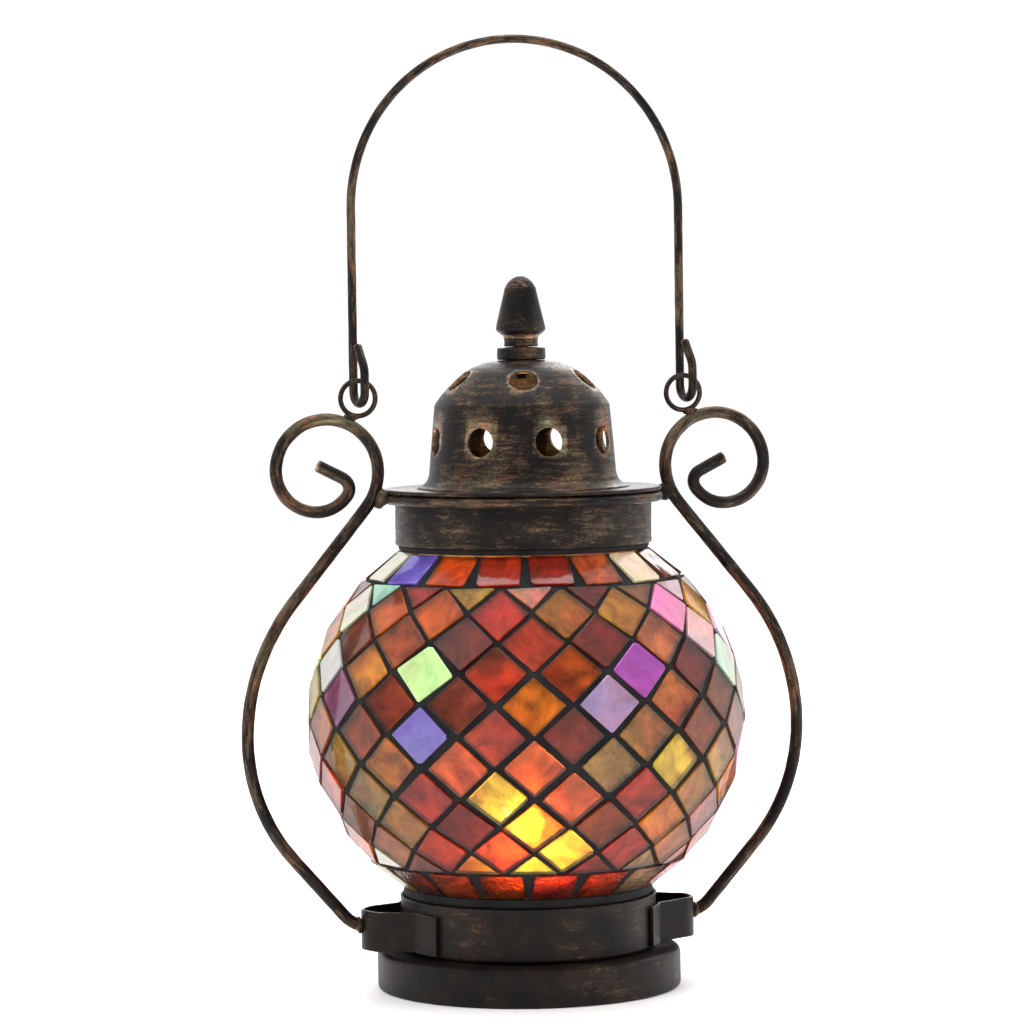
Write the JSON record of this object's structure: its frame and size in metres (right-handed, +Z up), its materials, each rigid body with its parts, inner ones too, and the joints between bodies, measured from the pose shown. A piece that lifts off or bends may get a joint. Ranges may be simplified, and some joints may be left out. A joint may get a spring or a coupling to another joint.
{
  "type": "candle lantern",
  "caption": "Round mosaic-glass candle lantern with a bronzed wire frame, a pierced lift-off lid, a knob finial and a swinging bail handle.",
  "frame": {"origin": "bottom centre of the plinth, on the surface the lantern stands on", "axes": "+Z up along the lantern's axis; +X through the two side scrolls and the handle's rings; -Y is the front"},
  "size_m": [0.138, 0.1052, 0.2275],
  "materials": {
    "bronze_sheet": "near-black brown with hand-rubbed bronze streaks",
    "bronze_wire": "near-black brown wire, rubbed to bronze on its high side",
    "bronze_cast": "dark bronze, slightly rough",
    "clear_glass": "clear blown glass",
    "mosaic_glass": "streaked amber, red and violet glass tiles, some iridescent, in charcoal grout",
    "plaster": "matt bedding plaster",
    "tin": "bright rolled",
    "wax": "translucent wax",
    "cotton": "charred cotton"
  },
  "bodies": {
    "lantern": {"plinth": "bronze_sheet", "base_cup": "bronze_sheet", "globe_bed": "plaster", "strap_left": "bronze_sheet", "strap_right": "bronze_sheet", "glass_globe": "clear_glass", "mosaic_bottom_band": "mosaic_glass", "mosaic_field": "mosaic_glass", "mosaic_top_band": "mosaic_glass", "collar": "bronze_sheet", "collar_bedding": "plaster", "seat_ring": "bronze_wire", "scroll_left": "bronze_wire", "scroll_right": "bronze_wire", "hanger_ring_left": "bronze_wire", "hanger_ring_right": "bronze_wire"},
    "lid": {"lid_plate": "bronze_sheet", "lid_skirt": "bronze_sheet", "dome": "bronze_sheet", "finial_washer": "bronze_cast", "finial": "bronze_cast", "finial_nut": "bronze_cast"},
    "handle": {"handle": "bronze_wire"},
    "tealight": {"tealight_cup": "tin", "tealight_wax": "wax", "wick_sustainer": "tin", "wick": "cotton"}
  },
  "joints": [
    {"name": "handle_swing", "type": "hinge", "parent": "lantern", "child": "handle", "pos_m": [0, 0, 0.1456], "axis": [1, 0, 0], "range_deg": [-135, 135]},
    {"name": "lid_lift", "type": "slide", "parent": "lantern", "child": "lid", "axis": [0, 0, 1], "range_m": [0, 0.045]},
    {"name": "tealight_lift", "type": "slide", "parent": "lantern", "child": "tealight", "axis": [0, 0, 1], "range_m": [0, 0.08]}
  ]
}
